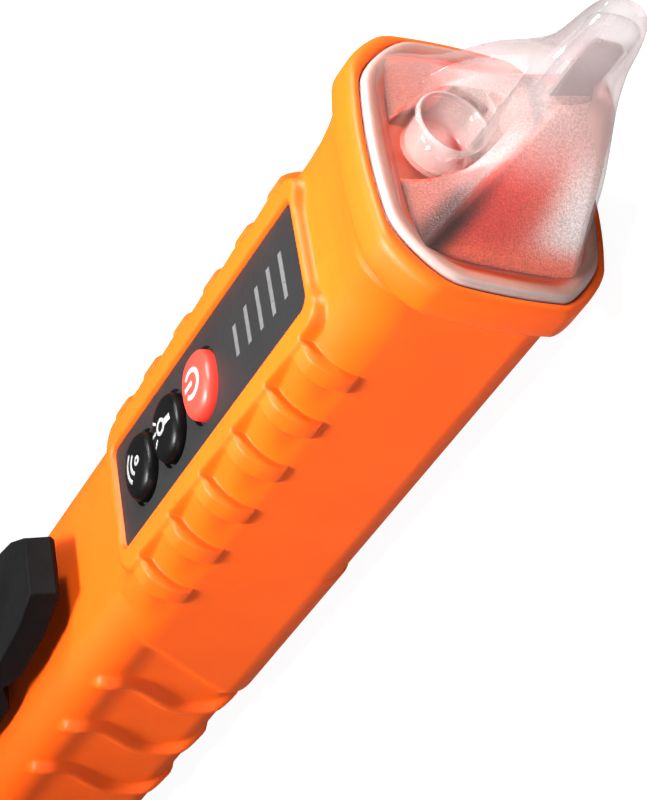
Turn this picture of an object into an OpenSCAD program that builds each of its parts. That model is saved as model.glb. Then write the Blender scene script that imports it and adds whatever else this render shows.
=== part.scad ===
// Pen style non contact voltage tester, in millimetres. It lies on its back:
// +X runs towards the sensing nose, +Z out of the control panel, and Z = 0 is the resting plane.

/* [Housing] */
// Width of the gripped front section
grip_w = 19.3; // [19.1:0.1:19.7]
// Width of the slimmer rear section
rear_w = 18; // [17.6:0.1:18.4]
// Width of the collar round the nose
collar_w = 25; // [24.6:0.1:25.4]
// Height of the collar, which is the height of the body
collar_h = 20.4; // [20.2:0.1:20.8]
// Radius of the panel side corners of the grip
grip_r = 4; // [3.5:0.1:4.5]
// Number of finger ribs on each side of the panel
rib_count = 6; // [3:1:6]
// Distance from one finger rib to the next
rib_pitch = 6.09; // [5.8:0.01:6.1]
// Height of a finger rib
rib_h = 1; // [0.5:0.1:1.1]
// Number of wavy ribs along each side of the rear section
wave_count = 7; // [2:1:7]
// Distance from one wavy rib to the next
wave_pitch = 7.7; // [7.2:0.1:8]

/* [Panel] */
// Length of the dark label plate
label_l = 34; // [33.8:0.1:34.2]
// Width of the dark label plate
label_w = 9.84; // [9.6:0.02:9.9]
// Length of a button across the body
key_l = 6.4; // [6:0.1:6.6]
// Width of a button along the body
key_w = 5; // [4.8:0.1:5.1]
// How far a button stands above the label
key_rise = 1.2; // [0.8:0.1:1.4]

/* [Nose] */
// Thickness of the sensing finger
finger_w = 3.4; // [3:0.1:3.8]
// Radius of the pocket in front of the torch lamp
pocket_r = 2.6; // [2.2:0.1:2.7]

/* [Clip] */
// Width of the pocket clip along its parallel part
clip_w = 12; // [11:0.5:12.5]
// Thickness of the pocket clip
clip_t = 1.8; // [1.6:0.1:1.9]

/* [Cells] */
// Diameter of one cell
cell_d = 10.5; // [10.1:0.1:10.5]
// Overall length of one cell with its button
cell_len = 44.5; // [44.5:0.1:44.6]

/* [Hidden] */
// stations along X
tip_x = 80;
flange_front = 61.6;
collar_front = 61.1;
collar_back = 57.9;
recess_floor = 59.2;
grip_rear = 6;
bumper_front = -60;
seam_x = -66;
tail_x = -80;
bay_x = 14;
tray_front = 53.5;
panel_front = 48.2;
panel_rear = panel_front - label_l;
panel_mid = (panel_front + panel_rear) / 2;
rib_front = 47.1;
key_x = [30.8, 24.9, 19.2];
bar_x = [45.7, 43.6, 41.44, 39.32, 37.2];
bar_len = [4.3, 4.4, 4, 3.5, 2.9];
bar_w = 0.55;
cell_front = 14;
// heights
grip_z0 = 1.5;
top_z = 18.4;
label_z = 19;
frame_z = 19.4;
ceil_z = 16.7;
board_z = 12.6;
board_t = 1.1;
rear_z0 = 2.4;
axis_z = 10.4;
pocket_z = 14.6;
finger_z = 9.1;
clip_top = 23;
hinge_x = -70;
hinge_z = 20.6;
corner_y = grip_w / 2 - grip_r;
corner_z = top_z - grip_r;
rib_low = rib_h * 0.2;
clearance = 0.1;
$fn = 48;

// rounded rectangle about the origin, with its own radius at the top and bottom corners
module section(w, z0, z1, rt, rb) {
    translate([-w / 2 + rb, z0]) square([w - 2 * rb, z1 - z0 - rt]);
    translate([-w / 2 + rt, z0 + rb]) square([w - 2 * rt, z1 - z0 - rb]);
    translate([-w / 2, z0 + rb]) square([w, z1 - z0 - rt - rb]);
    for (s = [-1, 1]) {
        translate([s * (w / 2 - rt), z1 - rt]) circle(rt);
        translate([s * (w / 2 - rb), z0 + rb]) circle(rb);
    }
}

// a section drawn out along X from x0 to x1
module bar(w, z0, z1, rt, rb, x0, x1) {
    translate([x0, 0, 0]) rotate([90, 0, 90]) linear_extrude(x1 - x0)
        section(w, z0, z1, rt, rb);
}

// a box from its low corner to its high corner
module span(lo, hi) {
    translate(lo) cube(hi - lo);
}

// a round rod along X
module rod(r, x0, x1, y = 0, z = axis_z) {
    translate([x0, y, z]) rotate([0, 90, 0]) cylinder(r = r, h = x1 - x0);
}

// flat plate with rounded corners, seen from above
module plate(l, w, r, z0, z1) {
    translate([0, 0, z0]) linear_extrude(z1 - z0) {
        square([l - 2 * r, w], center = true);
        square([l, w - 2 * r], center = true);
        for (a = [-1, 1], b = [-1, 1])
            translate([a * (l / 2 - r), b * (w / 2 - r)]) circle(r);
    }
}

// outline of a button with straight flanks, longer across the body
module key_shape(grow) {
    r = key_w / 2 + grow;
    reach = (key_l - key_w) / 2;
    square([2 * r, 2 * reach], center = true);
    for (s = [-1, 1]) translate([0, s * reach]) circle(r);
}

// saw-tooth profile of the finger ribs: radius from the corner axis, then X
function rib_tooth(k) = let (x = rib_front - rib_pitch * k)
    [[grip_r + rib_low, x], [grip_r + rib_h, x - 0.1],
     [grip_r + rib_h, x - 0.37 * rib_pitch], [grip_r + rib_h * 0.6, x - 0.45 * rib_pitch]];

module finger_ribs() {
    tail = rib_front - rib_pitch * rib_count;
    outline = [for (k = [0 : rib_count - 1], p = rib_tooth(k)) p];
    for (s = [0, 1]) mirror([0, s, 0])
        translate([0, corner_y, corner_z]) rotate([90, 0, 90]) rotate([0, 0, 6])
            rotate_extrude(angle = 78, $fn = 96)
                polygon(concat([[grip_r - 1.2, rib_front]], outline,
                               [[grip_r, tail], [grip_r - 1.2, tail]]));
}

// X of the wavy rib's leading edge at height z
function wave(z) = 1.6 * cos(180 * (z - 14.5) / 8);

module rear_ribs() {
    heights = [for (z = [4.4 : 0.8 : 16.4]) z];
    n = len(heights);
    outline = concat([for (z = heights) [wave(z), z]],
                     [for (i = [n - 1 : -1 : 0]) [wave(heights[i]) - 1.5, heights[i]]]);
    for (s = [0, 1], k = [0 : wave_count - 1]) mirror([0, s, 0])
        translate([-0.4 - wave_pitch * k, rear_w / 2 + 0.7, 0]) rotate([90, 0, 0])
            linear_extrude(1.4) polygon(outline);
}

module housing() color("darkorange") difference() {
    union() {
        bar(grip_w, grip_z0, top_z, grip_r, 3.5, grip_rear, collar_back + 0.1);
        bar(rear_w, rear_z0, top_z, 4, 3.5, bumper_front - 1, grip_rear + 1);
        bar(collar_w, 0, collar_h, 3, 4, collar_back, collar_front);
        bar(20.4, 0, 19.2, 4, 4, seam_x, bumper_front);
        translate([panel_mid, 0, 0]) plate(label_l + 2.9, 14.2, 2.5, top_z - 0.5, frame_z);
        finger_ribs();
        rear_ribs();
    }
    translate([panel_mid, 0, 0]) plate(label_l + 0.1, label_w + 0.06, 1.5, top_z, frame_z + 1);
    bar(collar_w - 1.8, 1, collar_h - 1, 3, 3.4, recess_floor, collar_front + 1);
    bar(16, 3.4, ceil_z, 2.5, 2.5, bay_x, recess_floor + 1);
    bar(14.8, 3.9, 16.9, 2.5, 2.5, seam_x - 1, bay_x + 1);
    for (x = key_x) translate([x, 0, ceil_z - 1]) linear_extrude(4) key_shape(clearance);
    for (i = [0 : len(bar_x) - 1])
        span([bar_x[i] - bar_w / 2 - 0.05, -bar_len[i] / 2 - 0.05, ceil_z - 1],
             [bar_x[i] + bar_w / 2 + 0.05, bar_len[i] / 2 + 0.05, frame_z]);
}

module nose_lens() color([0.95, 0.85, 0.85, 0.5]) difference() {
    union() {
        bar(collar_w - 1.9, 1.05, collar_h - 1.05, 2.95, 3.35, recess_floor + 0.05, flange_front);
        bar(15.9, 3.45, ceil_z - 0.05, 2.45, 2.45, 54, recess_floor + 0.1);
        hull() {
            bar(18.8, 2.3, 18.2, 2.5, 3, flange_front - 0.2, flange_front + 0.3);
            bar(4.4, 6.4, 12, 1.6, 1.6, 69.9, 70.1);
        }
        hull() {
            bar(4.4, 6.4, 12, 1.6, 1.6, 69.9, 70.1);
            for (s = [-1, 1]) translate([tip_x - finger_w / 2, 0, finger_z + s * 0.9])
                sphere(finger_w / 2, $fn = 32);
        }
        rod(pocket_r + 1, flange_front - 0.2, 65.4, z = pocket_z);
    }
    hull() {
        bar(13.5, 4.6, 15.5, 1.4, 1.4, 53, 60);
        bar(2.4, 7.4, 10.4, 0.6, 0.6, 67.8, 68);
    }
    span([67, -0.5, 7.2], [77, 0.5, 10.1]);
    rod(pocket_r, 59, 72, z = pocket_z);
    rod(2, 53, 60, z = pocket_z);
}

module sensor_plate() color("dimgray") {
    span([70, -0.2, 7.4], [76.5, 0.2, 9.9]);
    span([51, -0.2, 8.2], [70, 0.2, 9.2]);
    span([51, -0.2, 8.2], [52, 0.2, board_z - board_t]);
}

// a round lamp on two legs, pointing along X
module lamp(x, y, z, foot_z) {
    rod(1.5, x, x + 4.2, y, z);
    translate([x + 4.2, y, z]) sphere(1.5);
    rod(1.85, x, x + 0.9, y, z);
    for (s = [-1, 1]) {
        span([x - 2.7, y + s * 1.27 - 0.25, z - 0.25], [x + 0.1, y + s * 1.27 + 0.25, z + 0.25]);
        span([x - 2.7, y + s * 1.27 - 0.25, min(foot_z, z)],
             [x - 2.2, y + s * 1.27 + 0.25, max(foot_z, z)]);
    }
}

module torch_led() color("lightyellow") lamp(tray_front + 0.2, 0, pocket_z, board_z);

module alarm_led() color("red") lamp(tray_front + 0.2, -4.4, 8, board_z - board_t);

module label_plate() color("darkslategray") difference() {
    translate([panel_mid, 0, 0]) plate(label_l, label_w, 1.45, top_z, label_z);
    for (x = key_x) translate([x, 0, top_z - 1]) linear_extrude(3) key_shape(0.15);
    for (i = [0 : len(bar_x) - 1])
        span([bar_x[i] - bar_w / 2 - 0.05, -bar_len[i] / 2 - 0.05, top_z - 1],
             [bar_x[i] + bar_w / 2 + 0.05, bar_len[i] / 2 + 0.05, label_z + 1]);
}

module light_guide() color("lightgray") {
    span([36.4, -2.8, 15.7], [46.5, 2.8, ceil_z - clearance]);
    for (s = [0, 1]) mirror([0, s, 0]) span([36.4, 2.1, board_z], [46.5, 2.8, 16]);
    for (i = [0 : len(bar_x) - 1])
        span([bar_x[i] - bar_w / 2, -bar_len[i] / 2, 16],
             [bar_x[i] + bar_w / 2, bar_len[i] / 2, label_z]);
}

module bar_led(i) color("ivory") span([bar_x[i] - 0.4, -0.8, board_z], [bar_x[i] + 0.4, 0.8, board_z + 0.6]);
module bar_led_1() bar_led(0);
module bar_led_2() bar_led(1);
module bar_led_3() bar_led(2);
module bar_led_4() bar_led(3);
module bar_led_5() bar_led(4);

// rubber button: flange under the wall, shaft through it and a domed top
module key(x) {
    rise = label_z + key_rise;
    edge = 0.9;
    reach = (key_l - key_w) / 2;
    dome = [[0, 0], [key_w / 2, 0], [key_w / 2 - edge * 0.12, edge * 0.4],
            [key_w / 2 - edge * 0.45, edge * 0.75], [key_w / 2 - edge, edge * 0.92], [0, edge]];
    translate([x, 0, 0]) {
        cylinder(r = 1.4, h = 16.1, $fn = 32);
        translate([0, 0, ceil_z - 0.7]) linear_extrude(0.6) square([5.5, key_l + 1], center = true);
        translate([0, 0, ceil_z - 0.2]) linear_extrude(rise - edge - ceil_z + 0.2) key_shape(0);
        translate([0, 0, rise - edge]) {
            for (s = [-1, 1]) translate([0, s * reach, 0]) rotate_extrude() polygon(dome);
            rotate([90, 0, 0]) translate([0, 0, -reach]) linear_extrude(2 * reach)
                for (m = [0, 1]) mirror([m, 0]) polygon(dome);
        }
    }
}

// the button without what would reach below the tact switch's plunger
module trimmed_key(x) difference() {
    key(x);
    span([x - 3, -5, -1], [x + 3, 5, 15.5]);
}

module power_key() color("tomato") trimmed_key(key_x[0]);
module torch_key() color("dimgray") trimmed_key(key_x[1]);
module range_key() color("dimgray") trimmed_key(key_x[2]);

module plunger(x) translate([x, 0, 14.2]) cylinder(r = 1.2, h = 1.3, $fn = 32);
module power_plunger() color("white") plunger(key_x[0]);
module torch_plunger() color("white") plunger(key_x[1]);
module range_plunger() color("white") plunger(key_x[2]);

module switch_body(x) difference() {
    span([x - 2.2, -2.2, board_z], [x + 2.2, 2.2, 14.9]);
    translate([x, 0, 13.5]) cylinder(r = 1.25, h = 3, $fn = 32);
}
module power_switch() color("silver") switch_body(key_x[0]);
module torch_switch() color("silver") switch_body(key_x[1]);
module range_switch() color("silver") switch_body(key_x[2]);

module main_board() color("green") difference() {
    span([16.6, -7.4, board_z - board_t], [52, 7.4, board_z]);
    for (s = [-1, 1]) translate([48.5, s * 5.6, 0]) cylinder(r = 0.9, h = 20, $fn = 32);
}

module board_screws() color("silver") for (s = [-1, 1]) translate([48.5, s * 5.6, 0]) {
    translate([0, 0, board_z]) cylinder(r = 1.4, h = 0.8);
    translate([0, 0, 7.5]) cylinder(r = 0.8, h = board_z - 7.4);
}

module controller_chip() color("black") span([24, -2, 10], [30, 2, board_z - board_t]);

module buzzer() color("black") difference() {
    translate([43.6, 0, 7.4]) cylinder(r = 4.5, h = board_z - board_t - 7.4);
    translate([43.6, 0, 7]) cylinder(r = 0.6, h = 1.4);
}

module board_tray() color("dimgray") difference() {
    union() {
        difference() {
            intersection() {
                span([15, -7.7, 3.7], [tray_front, 7.7, board_z - board_t]);
                bar(15.4, 3.7, 16.5, 2.4, 2.4, 14, 54);
            }
            span([16.4, -6.5, 4.9], [tray_front - 1.2, 6.5, 20]);
        }
        for (s = [-1, 1]) translate([48.5, s * 5.6, 4]) cylinder(r = 1.6, h = board_z - board_t - 4);
        span([15, -6.5, board_z - board_t - 0.1], [16.4, 6.5, 15.8]);
    }
    for (s = [-1, 1]) translate([48.5, s * 5.6, 7]) cylinder(r = 0.85, h = 9, $fn = 32);
    span([50, -0.5, 7.9], [60, 0.5, 12]);
    span([14, 1.8, 10.9], [17, 4.2, 12]);
    span([14, 6.5, 8.7], [18.9, 7.1, 12]);
    for (s = [-1, 1]) span([50, -4.4 + s * 1.27 - 0.4, 7.6], [60, -4.4 + s * 1.27 + 0.4, 8.4]);
}

module front_contact() color("silver") {
    span([14.6, -4.5, 5.9], [14.9, 4.5, 14.9]);
    rod(1.5, cell_front, 14.7);
    span([14.6, 2, 11.2], [18, 4, board_z - board_t]);
}

module battery_tube() color("gray") difference() {
    rod(6.45, -60.7, 14.5);
    rod(cell_d / 2 + 0.35, -62, 16);
}

module cell(x) {
    rod(1.9, x - 2, x);
    rod(cell_d / 2, x - cell_len, x - 1.2);
}
module battery_front() color("gold") cell(cell_front);
module battery_rear() color("gold") cell(cell_front - cell_len);

module return_strip() color("silver") span([-64.5, 6.6, 8.9], [18.5, 6.9, board_z - board_t]);

module end_cap() color("dimgray") difference() {
    union() {
        hull() {
            bar(20.4, 0, 19.2, 4, 4, -76, seam_x - clearance);
            bar(16.4, 1.5, 17.2, 4, 4, tail_x, tail_x + 1);
        }
        bar(14.6, 4, 16.8, 2.4, 2.4, seam_x - 1, -61);
        for (s = [0, 1]) mirror([0, s, 0]) {
            span([hinge_x - 2.4, 4.3, 18.5], [hinge_x + 2.4, 6.3, hinge_z]);
            translate([hinge_x, 6.3, hinge_z]) rotate([90, 0, 0]) cylinder(r = 2.2, h = 2);
        }
    }
    rod(cell_d / 2 + 0.35, -77.8, -60);
    span([-77.8, 5, 8.9], [-60, 7.05, 11.9]);
    translate([hinge_x, 10, hinge_z]) rotate([90, 0, 0]) cylinder(r = 0.95, h = 20);
}

module cap_contact() color("silver") {
    rod(5.1, -77.8, -77.5);
    rod(2, -77.6, cell_front - 2 * cell_len);
    span([-77.8, 4, 9.2], [-77.5, 6.4, 11.6]);
    span([-77.8, 6.1, 9.2], [-61.8, 6.4, 11.6]);
}

module pocket_clip() color("black") {
    z0 = clip_top - clip_t;
    h = clip_w / 2;
    intersection() {
        translate([0, 20, 0]) rotate([90, 0, 0]) linear_extrude(40)
            polygon([[hinge_x - 0.6, z0 - 1], [hinge_x + 1, z0], [-18, z0], [-15, 19.3], [-12, 19.3],
                     [-9, z0], [3.4, z0], [4.1, z0 + 0.6], [2.6, clip_top], [hinge_x + 2, clip_top],
                     [hinge_x - 0.6, clip_top - 1]]);
        linear_extrude(40) polygon([[4.2, -2.9], [2.6, -2.9], [-0.4, -4.3], [-5, -5.1],
            [-18, -h], [-64, -h], [-67, -4.1], [-75, -4.1], [-75, 4.1], [-67, 4.1], [-64, h],
            [-18, h], [-5, 5.1], [-0.4, 4.3], [2.6, 2.9], [4.2, 2.9]]);
    }
    translate([hinge_x, 4.1, hinge_z]) rotate([90, 0, 0]) cylinder(r = 1.3, h = 8.2);
    translate([hinge_x, 6, hinge_z]) rotate([90, 0, 0]) cylinder(r = 0.9, h = 12);
}

housing();
nose_lens();
sensor_plate();
torch_led();
alarm_led();
label_plate();
light_guide();
bar_led_1();
bar_led_2();
bar_led_3();
bar_led_4();
bar_led_5();
power_key();
torch_key();
range_key();
power_plunger();
torch_plunger();
range_plunger();
power_switch();
torch_switch();
range_switch();
main_board();
board_screws();
controller_chip();
buzzer();
board_tray();
front_contact();
battery_tube();
battery_front();
battery_rear();
return_strip();
end_cap();
cap_contact();
pocket_clip();
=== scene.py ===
import math

import bmesh
import bpy
import numpy as np
from mathutils import Matrix, Vector


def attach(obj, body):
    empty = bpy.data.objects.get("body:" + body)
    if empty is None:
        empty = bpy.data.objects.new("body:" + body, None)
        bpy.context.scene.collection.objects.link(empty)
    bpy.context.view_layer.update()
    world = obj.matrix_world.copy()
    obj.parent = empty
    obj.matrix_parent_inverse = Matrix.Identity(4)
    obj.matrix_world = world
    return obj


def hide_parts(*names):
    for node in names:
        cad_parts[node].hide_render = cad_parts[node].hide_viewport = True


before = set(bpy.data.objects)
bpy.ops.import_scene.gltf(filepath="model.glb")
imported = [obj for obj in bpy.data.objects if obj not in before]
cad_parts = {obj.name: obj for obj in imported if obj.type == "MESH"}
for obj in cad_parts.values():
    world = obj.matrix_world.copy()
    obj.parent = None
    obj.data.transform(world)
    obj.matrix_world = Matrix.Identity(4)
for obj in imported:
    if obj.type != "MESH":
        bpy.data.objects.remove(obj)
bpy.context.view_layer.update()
MM = 0.001


# ---------------------------------------------------------------- helpers

def smooth(a, b, x):
    t = np.clip((np.asarray(x, float) - a) / (b - a), 0, 1)
    return t * t * (3 - 2 * t)


def lerp(x, xs, ys):
    return np.interp(x, xs, ys)


def scene_object(name, data):
    ob = bpy.data.objects.new(name, data)
    bpy.context.scene.collection.objects.link(ob)
    return ob


def mesh_of(name, verts, faces, merge=None, check=False):
    """A mesh from points in millimetres, with its normals outward."""
    me = bpy.data.meshes.new(name)
    me.from_pydata([tuple(v) for v in np.asarray(verts) * MM], [], [tuple(int(i) for i in f) for f in faces])
    if check:
        me.validate()
    clean_mesh(me, merge)
    return me


def clean_mesh(me, merge=None):
    bm = bmesh.new()
    bm.from_mesh(me)
    if merge:
        bmesh.ops.remove_doubles(bm, verts=bm.verts, dist=merge)
    bmesh.ops.recalc_face_normals(bm, faces=bm.faces)
    bm.to_mesh(me)
    bm.free()


def make_piece(name, me, mat, body, nodes=(), smooth_faces=None):
    """A finished piece: one material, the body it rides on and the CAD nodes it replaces."""
    me.materials.clear()
    me.materials.append(mat)
    if smooth_faces is not None:
        me.polygons.foreach_set("use_smooth", [smooth_faces] * len(me.polygons))
    ob = scene_object(name, me)
    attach(ob, body)
    if nodes:
        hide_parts(*nodes)
    return ob


def add_mesh(name, verts, faces, mat, body, nodes=(), slot=None):
    return make_piece(name, mesh_of(name, verts, faces, check=True), mat, body, nodes, True)


def grid_faces(rows, cols, wrap_rows=False, wrap_cols=True):
    r = np.arange(rows if wrap_rows else rows - 1)
    c = np.arange(cols if wrap_cols else cols - 1)
    i, j = np.meshgrid(r, c, indexing="ij")
    i2, j2 = (i + 1) % rows, (j + 1) % cols
    return np.stack([i * cols + j, i * cols + j2, i2 * cols + j2, i2 * cols + j], -1).reshape(-1, 4)


def loft(rings, close=True):
    """Points and faces of a tube through rings of equal length, capped at both ends."""
    rings = np.asarray(rings, float)
    n, m = rings.shape[:2]
    verts = list(rings.reshape(-1, 3))
    faces = list(grid_faces(n, m))
    if close:
        for k in (0, n - 1):
            verts.append(rings[k].mean(0))
            c = len(verts) - 1
            faces += [(c, k * m + j, k * m + (j + 1) % m) for j in range(m)]
    return verts, faces


def outline_plate(name, outlines, z0, z1, mat, body, bevel=0.0, nodes=()):
    """A flat plate: closed outlines in millimetres, the inner ones as holes."""
    cu = bpy.data.curves.new(name, "CURVE")
    cu.dimensions = "2D"
    cu.fill_mode = "BOTH"
    cu.extrude = (z1 - z0) / 2 * MM - bevel * MM
    cu.bevel_depth = bevel * MM
    cu.bevel_resolution = 2
    cu.offset = -bevel * MM
    for pts in outlines:
        sp = cu.splines.new("POLY")
        sp.points.add(len(pts) - 1)
        for p, (x, y) in zip(sp.points, pts):
            p.co = (x * MM, y * MM, 0, 1)
        sp.use_cyclic_u = True
    tmp = scene_object(name + "_curve", cu)
    dg = bpy.context.evaluated_depsgraph_get()
    me = bpy.data.meshes.new_from_object(tmp.evaluated_get(dg))
    bpy.data.objects.remove(tmp)
    bpy.data.curves.remove(cu)
    me.transform(Matrix.Translation((0, 0, (z0 + z1) / 2 * MM)))
    clean_mesh(me, 1e-6)
    make_piece(name, me, mat, body, nodes)


def rounded_box_outline(x0, x1, half, r, n=8):
    pts = []
    corners = ((x1 - r, half - r, 0), (x0 + r, half - r, 90), (x0 + r, -half + r, 180),
               (x1 - r, -half + r, 270))
    for cx, cy, a0 in corners:
        for i in range(n + 1):
            a = math.radians(a0 + 90 * i / n)
            pts.append((cx + r * math.cos(a), cy + r * math.sin(a)))
    return pts


def oval(cx, half_x, half_y, power=2.3, n=72):
    pts = []
    for i in range(n):
        a = 2 * math.pi * i / n
        c, s = math.cos(a), math.sin(a)
        pts.append((cx + half_x * math.copysign(abs(c) ** (2 / power), c),
                    half_y * math.copysign(abs(s) ** (2 / power), s)))
    return pts


# ---------------------------------------------------------------- materials

def material(name, color, rough, color2=None, vary=180.0, grain=2500.0, bump=0.02, rough_vary=0.06,
             **sockets):
    """Moulded material: colour drifts slightly between two tones, fine grain in bump and roughness."""
    mat = bpy.data.materials.new(name)
    mat.use_nodes = True
    nt = mat.node_tree
    bsdf = nt.nodes["Principled BSDF"]
    coord = nt.nodes.new("ShaderNodeTexCoord")
    drift = nt.nodes.new("ShaderNodeTexNoise")
    drift.inputs["Scale"].default_value = vary
    drift.inputs["Detail"].default_value = 3
    nt.links.new(coord.outputs["Object"], drift.inputs["Vector"])
    ramp = nt.nodes.new("ShaderNodeValToRGB")
    ramp.color_ramp.elements[0].position = 0.35
    ramp.color_ramp.elements[1].position = 0.65
    ramp.color_ramp.elements[0].color = (*color, 1)
    ramp.color_ramp.elements[1].color = (*(color2 or [c * 1.06 for c in color]), 1)
    nt.links.new(drift.outputs["Fac"], ramp.inputs["Fac"])
    nt.links.new(ramp.outputs["Color"], bsdf.inputs["Base Color"])
    fine = nt.nodes.new("ShaderNodeTexNoise")
    fine.inputs["Scale"].default_value = grain
    fine.inputs["Detail"].default_value = 2
    nt.links.new(coord.outputs["Object"], fine.inputs["Vector"])
    spread = nt.nodes.new("ShaderNodeMapRange")
    spread.inputs["To Min"].default_value = rough - rough_vary
    spread.inputs["To Max"].default_value = rough + rough_vary
    nt.links.new(fine.outputs["Fac"], spread.inputs["Value"])
    nt.links.new(spread.outputs["Result"], bsdf.inputs["Roughness"])
    bmp = nt.nodes.new("ShaderNodeBump")
    bmp.inputs["Strength"].default_value = 1.0
    bmp.inputs["Distance"].default_value = bump * MM
    nt.links.new(fine.outputs["Fac"], bmp.inputs["Height"])
    nt.links.new(bmp.outputs["Normal"], bsdf.inputs["Normal"])
    for key, value in sockets.items():
        bsdf.inputs[key.replace("_", " ")].default_value = value
    return mat


ORANGE = material("orange_shell", (0.92, 0.100, 0.0018), 0.5, (0.95, 0.108, 0.0022), bump=0.004,
                  Specular_IOR_Level=0.3)
LABEL = material("label_dark", (0.0125, 0.0125, 0.013), 0.5, (0.0145, 0.0145, 0.015), bump=0.004,
                 Specular_IOR_Level=0.3)
BAR = material("light_pipe", (0.10, 0.10, 0.10), 0.3, (0.125, 0.125, 0.125), vary=600, bump=0.004)
RED = material("red_rubber", (0.80, 0.035, 0.022), 0.42, (0.86, 0.045, 0.028), bump=0.006)
BLACK = material("black_rubber", (0.0016, 0.0016, 0.0018), 0.36, (0.0026, 0.0026, 0.0028), bump=0.006,
                 Specular_IOR_Level=0.18)
PRINT_RED = material("key_print_pale", (0.62, 0.42, 0.42), 0.5, (0.66, 0.46, 0.46), bump=0.003)
PRINT = material("key_print_grey", (0.26, 0.26, 0.255), 0.5, (0.30, 0.30, 0.295), bump=0.003)
GAP = material("gap_dark", (0.004, 0.004, 0.004), 0.7, bump=0.003)
CLIP = material("clip_plastic", (0.0055, 0.0055, 0.006), 0.6, (0.0085, 0.0085, 0.009), bump=0.014,
                Specular_IOR_Level=0.06)
CAP = material("cap_plastic", (0.008, 0.008, 0.0085), 0.42, (0.011, 0.011, 0.0115), bump=0.014,
               Specular_IOR_Level=0.25)


# ---------------------------------------------------------------- housing

GRIP_HALF, GRIP_Z0, TOP_Z, R_TOP, R_BOT = 9.65, 1.54, 18.4, 4.0, 3.5
RIB_FRONT, RIB_PITCH, RIB_COUNT = 47.1, 6.09, 6  # finger ribs
WAVE_PITCH, WAVE_COUNT, WAVE_HEIGHT = 7.7, 7, 0.74  # wavy ribs of the rear section
RECESS_DEPTH = 0.66  # rear section below the grip section
FRAME_Z = 19.4  # top of the raised frame round the label
FRAME_REAR, FRAME_HALF, FRAME_R = 12.7, 7.1, 2.2
OPENING_MID, OPENING_LONG, OPENING_HALF, OPENING_R = 31.37, 17.42, 5.0, 0.9  # inner edge of the frame
BODY_CROWN = 0.0, 0.004, 0.002  # bow of the flats: top, bottom, sides
COLLAR_CROWN = 0.0105, 0.0165, 0.012
MID_Z = 10.1

# stations round a section: 0 top, 1 upper corner, 2 side, 3 lower corner, 4 bottom
flat_y = [0, 0.7, 1.4, 2.1, 2.6] + [3.0 + 0.2 * i for i in range(9)]
flat_y += [4.72, 4.8, 4.88, 4.94, 5.0, 5.1, 5.3, 5.5]
top_part = [(0, y / 5.65) for y in flat_y]
arc_deg = [90, 87, 84, 81, 78, 76, 74, 72.5, 71.5, 70.5, 69.5, 68.5, 67.5, 66, 64] + \
    [62 - 2.5 * i for i in range(21)] + [9.5, 8, 7, 6.2, 5.4, 4.6, 3.6, 2]
top_arc = [(1, math.radians(a)) for a in arc_deg]
side_part = [(2, i / 34) for i in range(34)]
low_arc = [(3, math.radians(-a)) for a in np.linspace(0, 90, 31)[:-1]]
low_part = [(4, f) for f in np.linspace(0, 1, 9)[:-1]]
half_loop = top_part + top_arc + side_part + low_arc + low_part
bottom_mid = [(4, 1.0)]
loop = [(k, v, 1) for k, v in half_loop + bottom_mid] + [(k, v, -1) for k, v in reversed(half_loop[1:])]
KIND = np.array([p[0] for p in loop])
VAL = np.array([p[1] for p in loop])
SIDE = np.array([p[2] for p in loop])


def section_rings(x, half, z0, z1, rt, rb):
    """Rounded-rectangle rings at stations x: points, and the normal's y and z."""
    shape = len(x), len(loop)
    x, half, z0, z1, rt, rb = [np.broadcast_to(np.asarray(v, float)[:, None], shape)
                               for v in (x, half, z0, z1, rt, rb)]
    k, v, s = [np.broadcast_to(a, x.shape) for a in (KIND, VAL, SIDE)]
    parts = [k == i for i in range(5)]
    flat = 0 * v
    y = np.select(parts, [v * (half - rt), half - rt + rt * np.cos(v), half, half - rb + rb * np.cos(v),
                          (1 - v) * (half - rb)])
    z = np.select(parts, [z1, z1 - rt + rt * np.sin(v), z1 - rt + v * (z0 + rb - z1 + rt),
                          z0 + rb + rb * np.sin(v), z0])
    ny = np.select(parts, [flat, np.cos(v), flat + 1, np.cos(v), flat])
    nz = np.select(parts, [flat + 1, np.sin(v), flat, np.sin(v), flat - 1])
    return x, y * s, z, ny * s, nz


def crown(y, z, ny, nz, mid, top, low, side):
    """Bows the flats outward: they fall away from their middles."""
    z2 = z - np.where(nz > 0, top * y ** 2 * nz, low * y ** 2 * nz)
    y2 = y - np.sign(y) * side * (z - mid) ** 2 * np.abs(ny)
    return y2, z2


def tooth(x):
    """Height of the finger ribs at station x, 0 to 1, as crest and as sloping back."""
    p = RIB_FRONT - x
    k = np.floor(p / RIB_PITCH)
    q = p - k * RIB_PITCH
    on = (p > 0) & (k < RIB_COUNT)
    crest = smooth(-0.02, 0.26, q) * (1 - smooth(1.95, 2.3, q))
    back = np.where(q < 2.0, 0, 0.86 - 0.86 * (q - 2.0) / (RIB_PITCH - 2.0)) * smooth(1.9, 2.1, q)
    back = np.maximum(back, 0)
    return np.where(on, crest, 0), np.where(on, back, 0)


def wave_rib(x, z):
    """Wavy ribs of the rear section: profile height, 0 to 1."""
    sweep_z = 7.1  # below it the rib sweeps forward
    lead = np.where(z > sweep_z, -0.4 + 1.6 * np.cos(np.pi * (z - 14.5) / 7.4),
                    -2.0 + 0.1 * (sweep_z - z) ** 2)
    total = np.zeros_like(x)
    for k in range(WAVE_COUNT):
        q = lead - WAVE_PITCH * k - x
        total = np.maximum(total, smooth(-0.25, 0.35, q) * (1 - smooth(0.75, 2.0, q)))
    return total


def rounded_distance(dx, dy, r):
    """Signed distance to a rounded rectangle, from the distances to its inner corners."""
    return np.hypot(np.maximum(dx, 0), np.maximum(dy, 0)) + np.minimum(np.maximum(dx, dy), 0) - r


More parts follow.
